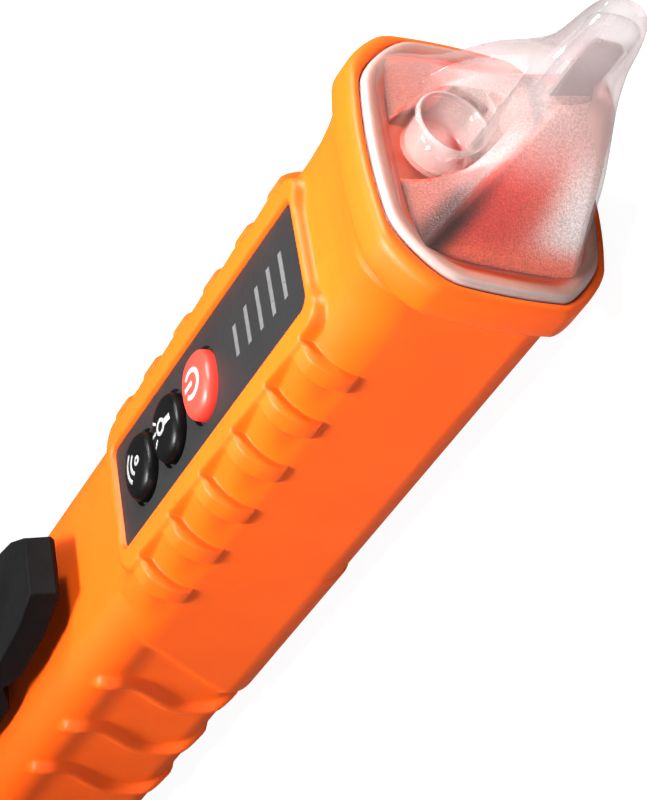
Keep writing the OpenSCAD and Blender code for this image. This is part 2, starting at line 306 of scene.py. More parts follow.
def build_housing():
    fine = np.arange(3.0, 56.6, 0.2)
    fronts = [RIB_FRONT - RIB_PITCH * k for k in range(RIB_COUNT)]
    extra = [f + d for f in fronts for d in (0.03, -0.05, -0.12, -0.22, -2.1, -2.3)]
    extra += [12.4, 12.55, 12.85, 14.15, 14.25, 48.12, 48.22, 49.5, 49.7, 49.9]
    body = np.unique(np.round(np.concatenate([np.arange(-59.8, 3.0, 0.28), fine, extra]), 3))
    keep = np.concatenate([[True], np.diff(body) > 0.035])
    body = body[keep]
    tail = np.array([-66.0, -66.0, -65.85, -65.5, -64, -62, -61, -60.5, -60.1])
    tail_half = [9.6, 9.95, 10.15, 10.2, 10.2, 10.2, 10.2, 10.15, 10.0]
    tail_z0 = [0.6, 0.25, 0.05, 0, 0, 0, 0, 0.05, 0.2]
    tail_z1 = [18.6, 18.95, 19.15, 19.2, 19.2, 19.2, 19.2, 19.15, 19.05]
    bumper_x = [-59.8, -59.2, -58, -56.5, -54]
    body_half = lerp(body, bumper_x, [9.95, 9.9, 9.75, GRIP_HALF, GRIP_HALF])
    body_z0 = lerp(body, bumper_x, [0.25, 0.45, 1.0, 1.4, GRIP_Z0])
    body_z1 = lerp(body, bumper_x + [50.5, 53, 55, 56.6],
                   [19.0, 18.9, 18.65, 18.45, TOP_Z, TOP_Z, 18.55, 18.85, 19.2])
    # collar, its rim, and the recess behind the nose flange: x, half width, z0, z1, rt, rb
    collar = np.array([
        (57.0, 9.72, 1.45, 19.4, 4.0, 3.5), (57.4, 9.85, 1.3, 19.65, 4.0, 3.5),
        (57.65, 10.2, 1.0, 19.85, 4.1, 3.8), (57.8, 11.0, 0.7, 19.98, 4.3, 4.3),
        (57.88, 11.7, 0.4, 20.1, 4.4, 4.7), (57.95, 12.15, 0.2, 20.2, 4.5, 5.0),
        (58.1, 12.4, 0.06, 20.32, 4.6, 5.2), (58.35, 12.5, 0, 20.4, 4.6, 5.3),
        (59.2, 12.5, 0, 20.4, 4.6, 5.3), (60.1, 12.5, 0, 20.4, 4.6, 5.3),
        (60.45, 12.47, 0.03, 20.37, 4.6, 5.3), (60.75, 12.38, 0.12, 20.28, 4.6, 5.2),
        (60.96, 12.22, 0.28, 20.12, 4.7, 5.1), (61.08, 12.02, 0.48, 19.92, 4.8, 5.0),
        (61.1, 11.8, 0.7, 19.7, 5.2, 4.8), (61.02, 11.66, 0.84, 19.56, 5.5, 4.7),
        (60.8, 11.6, 0.9, 19.5, 5.6, 4.6), (60.0, 11.6, 0.9, 19.5, 5.6, 4.6),
        (59.3, 11.6, 0.9, 19.5, 5.6, 4.6), (59.2, 11.5, 1.0, 19.4, 5.6, 4.5),
        (59.2, 9.5, 2.4, 17.8, 3.6, 3.5), (59.2, 8.1, 3.3, 16.8, 2.5, 2.5),
        (59.1, 8.0, 3.4, 16.7, 2.5, 2.5), (50, 8.0, 3.4, 16.7, 2.5, 2.5),
        (30, 8.0, 3.4, 16.7, 2.5, 2.5), (14, 8.0, 3.4, 16.7, 2.5, 2.5),
        (14, 7.4, 3.9, 16.7, 2.5, 2.5), (-30, 7.4, 3.9, 16.7, 2.5, 2.5),
        (-65.6, 7.4, 3.9, 16.9, 2.5, 2.5), (-65.9, 7.6, 3.7, 17.1, 2.6, 2.6)])
    x = np.concatenate([tail, body, collar[:, 0]])
    half = np.concatenate([tail_half, body_half, collar[:, 1]])
    z0 = np.concatenate([tail_z0, body_z0, collar[:, 2]])
    z1 = np.concatenate([tail_z1, body_z1, collar[:, 3]])
    n0, n1 = len(tail), len(tail) + len(body)
    rt = np.concatenate([np.full(n1, R_TOP), collar[:, 4]])
    rb = np.concatenate([np.full(n0, 4.0), lerp(body, [-59, -55], [4.0, R_BOT]), collar[:, 5]])
    X, Y, Z, NY, NZ = section_rings(x, half, z0, z1, rt, rb)
    on_body = np.zeros((len(x), 1))
    on_body[n0:n1] = 1
    # displacement along the normal: finger ribs, rear recess, wavy ribs
    ang = np.degrees(np.arctan2(NZ, np.abs(NY)))
    crest, back = tooth(X)
    tall = lerp(ang, [4, 6.5, 12, 30, 50, 60, 72, 85], [0, 0.3, 0.42, 0.84, 1.18, 1.12, 0.85, 0.6])
    h = tall * np.maximum(crest, back * smooth(12.0, 44.0, ang)) * (1 - smooth(86, 89, ang))
    behind = X - (0.5 + np.maximum(Z - 4.95, 0) * 0.66)  # from the slanted front of the recess
    recess = smooth(0.9, -0.5, behind) * smooth(17.4, 12.6, Z) * smooth(-59.5, -56.0, X)
    h = h - RECESS_DEPTH * recess
    fade = smooth(16.75, 16.1, Z) * (1 - 0.45 * smooth(0.1, 0.7, -NZ)) * smooth(-0.95, -0.75, NZ)
    h = h + WAVE_HEIGHT * wave_rib(X, Z) * (fade * smooth(0.0, -1.4, behind)) * smooth(-56.5, -55.5, X)
    h = h * on_body
    top, bottom, sides = [np.where(on_body > 0, b, c) for b, c in zip(BODY_CROWN, COLLAR_CROWN)]
    Y2, Z2 = crown(Y, Z, NY, NZ, MID_Z, top, bottom * (X > 20), sides * (X > 20))
    Y2, Z2 = Y2 + NY * h, Z2 + NZ * h
    # raised frame round the label, flared at its front corners
    reach = 49.55 + 0.85 * smooth(3.2, 6.4, np.abs(Y))
    outer = rounded_distance(np.maximum(X - (reach - FRAME_R), (FRAME_REAR + FRAME_R) - X),
                             np.abs(Y) - (FRAME_HALF - FRAME_R), FRAME_R)
    inner = rounded_distance(np.abs(X - OPENING_MID) - (OPENING_LONG - OPENING_R),
                             np.abs(Y) - (OPENING_HALF - OPENING_R), OPENING_R)
    mask = smooth(0.12, -0.22, outer) * smooth(-0.08, 0.06, inner) * on_body * (NZ > 0.2)
    rim = FRAME_Z - 0.2 * smooth(0.3, 0.0, inner) - 0.34 * np.clip((outer + 0.6) / 0.7, 0, 1) ** 2
    Z3 = Z2 + np.maximum(rim - Z2, 0) * mask
    floor = smooth(0.0, -0.1, inner) * on_body * (NZ > 0.9)
    Z3 = Z3 + (TOP_Z - Z3) * floor
    verts = np.stack([X, Y2, Z3], -1).reshape(-1, 3)
    faces = grid_faces(len(x), len(loop), wrap_rows=True)
    add_mesh("housing_shell", verts, faces, ORANGE, "body", ["housing"], "orange_shell")


build_housing()


# ---------------------------------------------------------------- label, bars and buttons

KEYS = {"power": 30.95, "torch": 24.85, "range": 19.15}  # station of each button's middle
KEY_HALF_X, KEY_HALF_Y, KEY_TOP, KEY_POWER = 2.36, 2.98, 20.05, 2.3
BARS = [(45.7, 4.3), (43.6, 4.4), (41.44, 4.0), (39.32, 3.5), (37.2, 2.9)]  # station and length
BAR_HALF = 0.28
INK = 0.03  # thickness of the printed symbols
LABEL_Z0, LABEL_Z1 = 18.46, 18.99


def bar_outline(x, length, gap=0.0):
    """A bar across the label, grown by a gap at its ends and half of it at its sides."""
    w, l = BAR_HALF + gap / 2, length / 2 + gap
    return [(x - w, -l), (x + w, -l), (x + w, l), (x - w, l)]


label_outline = rounded_box_outline(14.0, 48.75, 4.96, 0.85)
holes = [oval(x, 2.6, 3.34) for x in KEYS.values()]
slots = [bar_outline(x, l, 0.02) for x, l in BARS]
outline_plate("label_face", [label_outline] + holes + slots, LABEL_Z0, LABEL_Z1, LABEL, "body", 0.04,
              ["label_plate"])
outline_plate("label_backing", [rounded_box_outline(14.4, 48.0, 4.7, 1.3)], 18.41, 18.47, GAP, "body")
for i, (x, l) in enumerate(BARS):
    outline_plate("bar_window_%d" % (i + 1), [bar_outline(x, l)], LABEL_Z0, LABEL_Z1, BAR, "body", 0.03)


def key_top(dx, dy):
    """Height of a button's face at an offset from its middle."""
    rr = (np.abs(dx) / 2.4) ** KEY_POWER + (np.abs(dy) / 3.0) ** KEY_POWER
    return KEY_TOP - 0.2 * np.minimum(rr, 1)


def build_key(name, mat, node, slot):
    """A button from its skirt up: scale of the outline and height, None for the domed face."""
    profile = [(0.93, 16.0), (1.0, 18.3), (1.0, 19.0), (0.997, 19.26), (0.985, 19.44), (0.962, 19.59),
               (0.93, 19.71), (0.885, 19.8), (0.83, None), (0.7, None), (0.5, None), (0.25, None)]
    rings = []
    for s, z in profile:
        ring = np.array(oval(0, KEY_HALF_X * s, KEY_HALF_Y * s, KEY_POWER, 96))
        zz = key_top(ring[:, 0], ring[:, 1]) if z is None else np.full(len(ring), z)
        if z is None and s > 0.8:
            zz = zz - 0.02
        rings.append(np.column_stack([ring[:, 0] + KEYS[name], ring[:, 1], zz]))
    verts, faces = loft(rings)
    verts[-1][2] = KEY_TOP
    add_mesh(name + "_button", verts, faces, mat, name + "_button", [node], slot)


def print_shape(name, strokes, mat, slot):
    """Printed symbol: strokes (points, width, closed) laid on a button's face."""
    verts, faces = [], []
    for pts, width, closed in strokes:
        pts = np.array(pts, float)
        n = len(pts)
        ahead = np.roll(pts, -1, 0) - np.roll(pts, 1, 0) if closed else np.gradient(pts, axis=0)
        t = ahead / np.linalg.norm(ahead, axis=1)[:, None]
        nrm = np.column_stack([-t[:, 1], t[:, 0]]) * width / 2
        base = len(verts)
        for edge in (pts + nrm, pts - nrm):
            verts += [(p[0] + KEYS[name], p[1], float(key_top(p[0], p[1])) + 0.025) for p in edge]
        m = n if closed else n - 1
        faces += [(base + i, base + (i + 1) % n, base + n + (i + 1) % n, base + n + i) for i in range(m)]
    ob = add_mesh(name + "_symbol", verts, faces, mat, name + "_button", slot=slot)
    mod = ob.modifiers.new("ink", "SOLIDIFY")
    mod.thickness = INK * MM
    mod.offset = 0


def arc(cx, cy, r, a0, a1, n=24):
    return [(cx + r * math.cos(a), cy + r * math.sin(a)) for a in np.radians(np.linspace(a0, a1, n))]


def line(x0, y0, x1, y1, n=4):
    return [(x0 + (x1 - x0) * t, y0 + (y1 - y0) * t) for t in np.linspace(0, 1, n)]


build_key("power", RED, "power_key", "red_rubber")
build_key("torch", BLACK, "torch_key", "black_rubber")
build_key("range", BLACK, "range_key", "black_rubber")
print_shape("power", [(arc(0, 0, 1.15, -140, 140, 40), 0.42, False), (line(0.1, 0, -1.3, 0), 0.42, False)],
            PRINT_RED, "red_rubber")
rays = [(line(-1.0, 0, -1.75, 0), 0.24, False)]
rays += [(line(-0.85, 0.75 * k, -1.45, 1.25 * k), 0.24, False) for k in (-1, 1)]
lamp = [(arc(-0.05, 0, 0.6, 0, 360, 32)[:-1], 0.34, True), (line(0.55, 0, 1.6, 0), 0.62, False)]
print_shape("torch", lamp + rays, PRINT, "black_rubber")
waves = [(arc(0.7, 0, 0.28, 0, 360, 20)[:-1], 0.3, True), (arc(0.7, 0, 1.1, 125, 235), 0.36, False),
         (arc(0.7, 0, 1.85, 133, 227), 0.36, False)]
print_shape("range", waves, PRINT, "black_rubber")


# ---------------------------------------------------------------- nose

def curve_through(x, xs, ys):
    """Smooth curve through knots, with averaged slopes."""
    xs, ys = np.asarray(xs, float), np.asarray(ys, float)
    m = np.gradient(ys, xs)
    i = np.clip(np.searchsorted(xs, x) - 1, 0, len(xs) - 2)
    h = xs[i + 1] - xs[i]
    t = (np.asarray(x, float) - xs[i]) / h
    return (2 * t ** 3 - 3 * t ** 2 + 1) * ys[i] + (t ** 3 - 2 * t ** 2 + t) * h * m[i] + \
        (3 * t ** 2 - 2 * t ** 3) * ys[i + 1] + (t ** 3 - t ** 2) * h * m[i + 1]


def form(name, verts, faces):
    """An object to work on, with coinciding points merged."""
    return scene_object(name, mesh_of(name, verts, faces, 1e-7))


def cut_with(tool, operation="DIFFERENCE"):
    return "BOOLEAN", {"operation": operation, "object": tool, "solver": "EXACT"}


def baked(ob, *steps):
    """Applies modifiers, each a (type, settings) pair, and returns the new mesh."""
    for kind, settings in steps:
        mod = ob.modifiers.new(kind, kind)
        for key, value in settings.items():
            setattr(mod, key, value)
    bpy.context.view_layer.update()
    me = bpy.data.meshes.new_from_object(ob.evaluated_get(bpy.context.evaluated_depsgraph_get()))
    ob.modifiers.clear()
    return me


def egg_rings(x, half, z0, z1, power, n=96):
    a = np.linspace(0, 2 * np.pi, n, endpoint=False)
    rings = []
    for xi, h, lo, hi, p in zip(x, half, z0, z1, power):
        c, s = np.cos(a), np.sin(a)
        y = h * np.sign(c) * np.abs(c) ** (2 / p)
        z = (lo + hi) / 2 + (hi - lo) / 2 * np.sign(s) * np.abs(s) ** (2 / p)
        rings.append(np.column_stack([np.full(n, xi), y, z]))
    return rings


def rod_rings(x, r, z):
    return egg_rings(x, r, z - np.asarray(r), z + np.asarray(r), [2.0] * len(x), 64)


POCKET_Z, POCKET_R, BOSS_R, MOUTH_X = 14.6, 2.6, 3.7, 65.2  # torch pocket and the boss round it
# outline of the clear wall at stations along the nose
TENT_X = [61.0, 61.9, 63.5, 65.5, 67.5, 69.5, 72, 74.5, 77, 79, 79.7, 80]
TENT_HALF = [9.95, 9.55, 8.3, 7.05, 6.1, 5.1, 3.35, 1.95, 1.65, 1.25, 0.8, 0.05]
TENT_TOP = [18.3, 18.15, 17.2, 16.3, 15.5, 14.65, 13.2, 11.95, 11.3, 10.7, 10.2, 9.15]
TENT_LOW = [3.1, 3.15, 3.15, 3.2, 3.6, 4.25, 5.0, 5.5, 5.9, 6.7, 7.5, 9.05]


def build_tent():
    """Clear wall of the nose: a tapering form with a scoop in its top, a boss and the pocket's bore."""
    x = np.concatenate([np.arange(61.0, 79, 0.25), [79, 79.25, 79.5, 79.7, 79.85, 79.95, 80]])
    half, low, top = [curve_through(x, TENT_X, v) for v in (TENT_HALF, TENT_LOW, TENT_TOP)]
    power = lerp(x, [61, 62, 65, 68, 72, 76, 80], [6, 5, 3.8, 3.2, 2.7, 2.4, 2.2])
    tent = form("tent", *loft(egg_rings(x, np.maximum(half, 0.05), low, top, power)))
    sx = np.array([65.0, 66, 67, 68, 69, 70, 71, 72, 73, 74, 75])
    knots, scoop_z = [65, 67, 69, 71, 73, 75], 16.5
    sy = lerp(sx, knots, [3.9, 3.75, 3.1, 2.1, 1.1, 0.3])
    sz = lerp(sx, knots, [4.7, 4.45, 4.3, 4.1, 3.9, 3.8])
    scoop = form("scoop", *loft(egg_rings(sx, sy, scoop_z - sz, scoop_z + sz, [2.0] * len(sx), 64)))
    tent.data = baked(tent, cut_with(scoop))
    boss_r = [BOSS_R, BOSS_R - 0.45, BOSS_R - 0.52, BOSS_R - 0.65]
    boss = form("boss", *loft(rod_rings([60.9, 64.9, 65.1, MOUTH_X], boss_r, POCKET_Z)))
    tent.data = baked(tent, cut_with(boss, "UNION"), ("REMESH", {"mode": "VOXEL", "voxel_size": 0.2 * MM}),
                      ("SMOOTH", {"factor": 0.5, "iterations": 34}))
    bore = form("bore", *loft(rod_rings([61.9, 67], [POCKET_R + 0.08, POCKET_R + 0.08], POCKET_Z)))
    me = baked(tent, cut_with(bore))
    for ob in (tent, scoop, boss, bore):
        bpy.data.objects.remove(ob)
    return me


def tint_layer(me, colours, haze=None):
    layer = me.color_attributes.new("tint", "FLOAT_COLOR", "POINT")
    colours = np.clip(colours, 0, 1)
    alpha = np.ones(len(colours)) if haze is None else haze
    layer.data.foreach_set("color", np.column_stack([colours, alpha]).ravel())


def points_of(me):
    co = np.empty(len(me.vertices) * 3)
    me.vertices.foreach_get("co", co)
    no = np.empty(len(me.vertices) * 3)
    me.vertices.foreach_get("normal", no)
    return co.reshape(-1, 3) / MM, no.reshape(-1, 3)


def tinted_material(name, rough, grain, bump, speckle=0.0, see_through=False, edge=(0.0, 0.0), **sockets):
    """Material whose colour follows the piece's tint layer, with grain in colour, bump and roughness.

    A see-through one takes its alpha from the tint layer's haze, plus more where the wall is seen edge on.
    """
    mat = material(name, (1 - speckle,) * 3, rough, (1, 1, 1), vary=grain * 0.9, grain=grain, bump=bump,
                   **sockets)
    nt = mat.node_tree
    bsdf = nt.nodes["Principled BSDF"]
    ramp = nt.nodes["Color Ramp"]
    tint = nt.nodes.new("ShaderNodeVertexColor")
    tint.layer_name = "tint"
    mix = nt.nodes.new("ShaderNodeMix")
    mix.data_type = "RGBA"
    mix.blend_type = "MULTIPLY"
    mix.inputs["Factor"].default_value = 1
    nt.links.new(tint.outputs["Color"], mix.inputs["A"])
    nt.links.new(ramp.outputs["Color"], mix.inputs["B"])
    nt.links.new(mix.outputs["Result"], bsdf.inputs["Base Color"])
    if see_through:
        view = nt.nodes.new("ShaderNodeLayerWeight")
        view.inputs["Blend"].default_value = 0.35
        edge_map = nt.nodes.new("ShaderNodeMapRange")
        edge_map.inputs["To Min"].default_value, edge_map.inputs["To Max"].default_value = edge
        total = nt.nodes.new("ShaderNodeMath")
        total.operation = "ADD"
        total.use_clamp = True
        nt.links.new(view.outputs["Facing"], edge_map.inputs["Value"])
        nt.links.new(edge_map.outputs["Result"], total.inputs[0])
        nt.links.new(tint.outputs["Alpha"], total.inputs[1])
        nt.links.new(total.outputs["Value"], bsdf.inputs["Alpha"])
    return mat


CLEAR = tinted_material("clear_nose", 0.08, 900, 0.01, see_through=True, edge=(0.0, 0.48), IOR=1.58)
CORE = tinted_material("nose_inside", 0.4, 7000, 0.035, speckle=0.34, Specular_IOR_Level=0.25)
FLANGE = tinted_material("nose_flange", 0.22, 1500, 0.01, speckle=0.05)
POCKET = tinted_material("torch_pocket", 0.12, 1500, 0.006, speckle=0.04, see_through=True, edge=(0.0, 0.05))
PLATE = material("sensor_metal", (0.19, 0.125, 0.11), 0.55, (0.32, 0.235, 0.215), vary=11000, grain=8000,
                 bump=0.04)


def tinted_piece(name, me, mat, colours, haze=None, nodes=()):
    tint_layer(me, colours, haze)
    make_piece(name, me, mat, "body", nodes, True)


def blend_tint(a, b, t):
    return np.asarray(a) + (np.asarray(b) - np.asarray(a)) * np.asarray(t)[:, None]


def build_shell():
    """Clear wall: its haze grows toward the finger and along its corners. Its colour holds painted shade on
    faces turned up and forward and along the corners near the root, and painted light on the scoop's near
    wall.
    """
    me = build_tent()
    p, n = points_of(me)
    x, y, z = p.T
    colour = blend_tint((0.86, 0.66, 0.63), (0.70, 0.585, 0.59), smooth(66, 72, x))
    # painted shade: faces turned up and forward, toward the key and front lamps, are darkened in colour, by
    # up to 84 percent
    colour = colour * (1 - 0.84 * np.clip(0.9 * n[:, 2] + 0.45 * n[:, 0], 0, 1))[:, None]
    hollow = smooth(0.1, 0.5, n[:, 1]) * smooth(64, 66, x) * (y < 0)  # near wall of the scoop
    # painted light: the scoop's near wall, turned away from the lamps, is lightened in colour by up to 80
    # percent
    colour = np.clip(colour * (1 + 0.8 * hollow)[:, None], 0, 0.9)
    tube = smooth(4.1, 3.8, np.hypot(y, z - POCKET_Z)) * smooth(65.1, 64.7, x)
    colour = colour * blend_tint((1, 1, 1), (0.97, 0.62, 0.54), tube)
    corner = np.clip(2 * np.abs(n[:, 1]) * n[:, 2], 0, 1) ** 4 * smooth(62.5, 64.5, x) * (1 - hollow)
    # painted shade: toward the root, the corners are blended to grey, standing in for the dark edges of the
    # clear wall
    colour = blend_tint(colour, (0.27, 0.215, 0.21), 0.8 * corner * smooth(72, 69, x))
    haze = np.minimum(0.03 + 0.32 * smooth(65.5, 72.5, x) * (1 - 0.8 * hollow) + 0.42 * corner, 0.5)
    tinted_piece("nose_shell", me, CLEAR, colour, haze, ["nose_lens"])


def build_flange():
    """Flange in the collar's recess: a rim painted pale as a highlight, turning pink, with a red line inside.
    """
    x, inset = np.array([(59.3, 0.06), (61.1, 0.06), (61.4, 0.14), (61.54, 0.3), (61.6, 0.52), (61.58, 0.8),
                         (61.48, 1.1), (61.4, 1.35), (61.34, 1.6), (61.3, 1.8), (61.22, 1.95), (61.2, 2.1),
                         (61.2, 2.6), (61.2, 4.0)]).T
    X, Y, Z, NY, NZ = section_rings(x, 11.6 - inset, 0.9 + inset, 19.5 - inset, 5.6 - 0.5 * inset,
                                    4.6 - 0.4 * inset)
    Y, Z = crown(Y, Z, NY, NZ, MID_Z, *COLLAR_CROWN)
    me = mesh_of("flange_form", *loft(np.stack([X, Y, Z], -1)))
    d = np.concatenate([np.repeat(inset, len(loop)), [0.06, 4.0]])
    # painted highlight: the outer edge of the rim is pale, then turns pink
    colour = blend_tint((0.40, 0.29, 0.265), (0.42, 0.19, 0.145), smooth(0.25, 0.6, d))
    colour = blend_tint(colour, (0.50, 0.055, 0.018), smooth(1.0, 1.5, d))
    tinted_piece("nose_flange", me, FLANGE, colour)


def build_core():
    """Grained inner face, seen through the wall: red sides, a pale far end and a dark patch of painted shade
    at its root.
    """
    cx = np.concatenate([np.linspace(61.25, 70.0, 71), [70.15, 70.25, 70.3]])
    half = lerp(cx, [61.25, 62.2, 70.0, 70.3], [9.35, 8.75, 2.1, 1.5])
    top = lerp(cx, [61.25, 62.2, 70.0, 70.3], [17.5, 16.75, 10.1, 9.5])
    low = lerp(cx, [61.25, 62.2, 66, 70.0, 70.3], [3.4, 3.6, 4.0, 4.9, 5.6])
    X, Y, Z, NY, NZ = section_rings(cx, half, low, top, np.full(len(cx), 0.7), np.full(len(cx), 1.2))
    bow = np.clip(half / 9, 0, 1)[:, None]
    Y, Z = crown(Y, Z, NY, NZ, 10.4, 0.006, 0.008, 0.006 * bow)
    X = X + smooth(64, 70, X) * 0.3 * (8.5 - Z)
    ob = form("core_form", *loft(np.stack([X, Y, Z], -1)))
    groove_x, groove_half = [60.9, 65, 67, 69, 71, 73], [3.95, 3.9, 2.9, 1.9, 1.3, 0.9]
    groove_z0, groove_z1 = [10.7, 10.7, 10.9, 10.9, 10.7, 10.5], [18.4] * 6
    groove = form("groove", *loft(egg_rings(groove_x, groove_half, groove_z0, groove_z1, [2.0] * 6, 64)))
    me = baked(ob, cut_with(groove))
    bpy.data.objects.remove(ob)
    bpy.data.objects.remove(groove)
    p, n = points_of(me)
    x, y, z = p.T
    along = np.clip((x - 61.5) / 8.5, 0, 1)
    hi, lo = np.interp(x, cx, top), np.interp(x, cx, low)
    drop = np.clip((hi - z) / np.maximum(hi - lo, 0.5), 0, 1)
    to_ridge = np.hypot(hi - z, np.interp(x, cx, half) - np.abs(y)) + 3 * (np.abs(y) < 3.9)
    red, rose, pale, white = (0.76, 0.055, 0.035), (0.86, 0.24, 0.17), (0.84, 0.46, 0.41), (0.97, 0.86, 0.84)
    ember, brown = (0.92, 0.14, 0.06), (0.042, 0.008, 0.006)
    side = blend_tint(red, rose, smooth(0.35, 0.8, drop))
    side = blend_tint(side, white, smooth(0.5, 0.85, drop) * smooth(0.0, 0.3, along))
    side = blend_tint(side, pale, smooth(0.45, 1.0, along))
    side = blend_tint(side, ember, 0.8 * smooth(0.22, 0.0, along))
    # painted shade: faces turned up get much darker tones than the sides, to tone down their strong lighting
    upper = blend_tint((0.20, 0.055, 0.038), (0.19, 0.105, 0.092), smooth(0.05, 0.6, along))
    upper = blend_tint(upper, (0.30, 0.235, 0.225), smooth(0.7, 1.0, along))
    colour = blend_tint(side, upper, smooth(0.35, 0.85, n[:, 2]))
    # walls and floor of the groove, in a lighter pink than the red sides: painted light over their shade
    rim = np.interp(x, cx, half)
    inward = smooth(0.5, 0.2, n[:, 1] * np.sign(y))
    cut = inward * smooth(0.5, 1.0, rim - np.abs(y)) * smooth(0.3, 0.7, hi - z) * smooth(0.8, 1.6, z - lo)
    cut = cut * smooth(70.1, 69.8, x)
    colour = blend_tint(colour, blend_tint((0.50, 0.28, 0.25), (0.34, 0.24, 0.225), smooth(63, 68, x)), cut)
    zone = smooth(4.3, 4.0, np.abs(y)) * smooth(10.3, 10.7, z) * smooth(0.1, 0.3, hi - z) * inward
    colour = blend_tint(colour, (0.44, 0.27, 0.25), zone)
    # painted shade: a dark brown patch on the near side at the root, strongest along the ridge
    dark = smooth(3.5 - 2.3 * along, 1.1 - 0.7 * along, to_ridge) * smooth(0.75, 0.2, along) * (y < 0)
    tinted_piece("nose_inside", me, CORE, blend_tint(colour, brown, dark))


def build_finger_slot():
    """Slot in the finger round the sensor plate."""
    mid_z = 8.45
    x = np.concatenate([[68.3, 68.4, 68.6], np.linspace(68.9, 77.4, 20), [77.8, 78.05, 78.2, 78.25]])
    swell = np.concatenate([[0.3, 0.6, 0.85], np.ones(20), [0.9, 0.7, 0.4, 0.05]])
    z0, z1 = mid_z - 2.15 * swell, mid_z + 2.15 * swell
    verts, faces = loft(egg_rings(x, 1.05 * swell, z0, z1, [2.6] * len(x), 48))
    tinted_piece("finger_slot", mesh_of("slot_form", verts, faces), CLEAR,
                 np.full((len(verts), 3), (0.34, 0.28, 0.28)), np.full(len(verts), 0.05))


def build_pocket():
    """Torch pocket: lining with a rounded lip, and its floor."""
    x, r = np.array([(61.95, 0.02), (61.95, 1.2), (61.98, 2.1), (62.1, 2.4), (62.4, 2.52), (63.5, 2.56),
                     (64.8, 2.58), (65.1, 2.6), (65.25, 2.66), (65.32, 2.76), (65.28, 2.88), (65.15, 2.96),
                     (64.9, 2.98)]).T
    ob = form("pocket_form", *loft(rod_rings(x, r, POCKET_Z), close=False))
    me = ob.data
    bpy.data.objects.remove(ob)
    me.flip_normals()
    x, y, z = points_of(me)[0].T
    colour = blend_tint((0.92, 0.50, 0.46), (0.86, 0.69, 0.665), smooth(62.0, 63.4, x))
    colour = colour * (1 - 0.35 * smooth(64.7, 65.1, x))[:, None]
    sliver = smooth(-0.2, -1.2, z - POCKET_Z + 0.9) * smooth(62.5, 62.0, x)
    sliver = sliver * smooth(1.2, 2.2, np.hypot(y, z - POCKET_Z))
    colour = blend_tint(colour, (0.35, 0.03, 0.03), sliver)
    cover = 0.02 + 0.6 * smooth(62.6, 62.0, x) + 0.2 * smooth(64.95, 65.2, x)
    # painted light: the far side of the lining is made more opaque, so its pale colour covers the shaded
    # inside of the pocket
    tinted_piece("torch_pocket", me, POCKET, colour, np.clip(cover + 0.3 * smooth(-0.8, 1.4, y), 0, 1))


def build_plate():
    """Sensor plate in the finger, standing on edge."""
    outline = np.array(rounded_box_outline(68.9, 76.0, 1.45, 0.6))
    layers = [np.column_stack([outline[:, 0], np.full(len(outline), y), 8.05 + outline[:, 1]])
              for y in (-0.2, -0.16, 0.16, 0.2)]
    plate = form("plate_form", *loft(layers))
    me = plate.data
    bpy.data.objects.remove(plate)
    make_piece("sensor_plate_face", me, PLATE, "body", ["sensor_plate"])


build_shell()
build_flange()
build_core()
build_finger_slot()
build_pocket()
build_plate()


# ---------------------------------------------------------------- clip and battery cap

HINGE_X, HINGE_Z, CLIP_TOP, CLIP_T = -70.0, 20.6, 23.0, 1.8
CAP_HALF, CAP_TOP, CAP_R = 10.2, 19.2, 4.0


def prism(name, pts, a0, a1, axis="y"):
    """Closed outline pushed along an axis: (x, z) outlines along y, (x, y) outlines along z."""
    rings = [[(u, a, v) if axis == "y" else (u, v, a) for u, v in pts] for a in (a0, a1)]
    n = len(pts)
    sides = [(i, (i + 1) % n, n + (i + 1) % n, n + i) for i in range(n)]
    return form(name, rings[0] + rings[1], [tuple(range(n)), tuple(range(n, 2 * n))] + sides)


def rounded_piece(name, ob, tool, operation, mat, body, bevel, nodes=()):
    """Cuts a form with a tool and makes it a piece with rounded edges."""
    me = baked(ob, cut_with(tool, operation))
    bpy.data.objects.remove(tool)
    piece = make_piece(name, me, mat, body, nodes, True)
    mod = piece.modifiers.new("edge", "BEVEL")
    mod.width = bevel * MM
    mod.segments = 3
    mod.limit_method = "ANGLE"
    mod.angle_limit = math.radians(25)
    mod.harden_normals = False
    mod = piece.modifiers.new("normals", "WEIGHTED_NORMAL")
    mod.keep_sharp = False
    bpy.data.objects.remove(ob)


def build_clip():
    low, lip = CLIP_TOP - CLIP_T, CLIP_TOP - CLIP_T - 0.9
    side = [(HINGE_X - 0.6, low - 1), (HINGE_X + 1, low), (-18, low), (-15, 19.4), (-12, 19.4), (-9, low),
            (-7, lip), (3.0, lip), (3.4, low - 0.4), (2.6, CLIP_TOP), (-4, CLIP_TOP), (-17, CLIP_TOP),
            (-18, CLIP_TOP),
            (HINGE_X + 2, CLIP_TOP), (HINGE_X - 0.6, CLIP_TOP - 1)]
    plan = [(4.2, -2.9), (2.6, -2.9), (-0.4, -4.3), (-5, -5.1), (-18, -5.95), (-64, -5.95), (-67, -4.05),
            (-75, -4.05)]
    plan += [(x, -y) for x, y in reversed(plan)]
    arm, cut = prism("arm_form", side, -10, 10), prism("plan_form", plan, 0, 40, "z")
    rounded_piece("clip_arm", arm, cut, "INTERSECT", CLIP, "clip", 0.16, ["pocket_clip"])
    # pivot rod: stations and radii of one half, then the same mirrored
    y = np.array([-6.0, -5.9, -4.15, -4.1, -3.9])
    r = np.array([0.75, 0.88, 0.88, 1.1, 1.25])
    a = np.linspace(0, 2 * np.pi, 40, endpoint=False)
    rings = [np.column_stack([HINGE_X + ri * np.cos(a), np.full(len(a), yi), HINGE_Z + ri * np.sin(a)])
             for yi, ri in zip(np.concatenate([y, -y[::-1]]), np.concatenate([r, r[::-1]]))]
    add_mesh("clip_pivot", *loft(rings), CLIP, "clip", slot="clip_plastic")


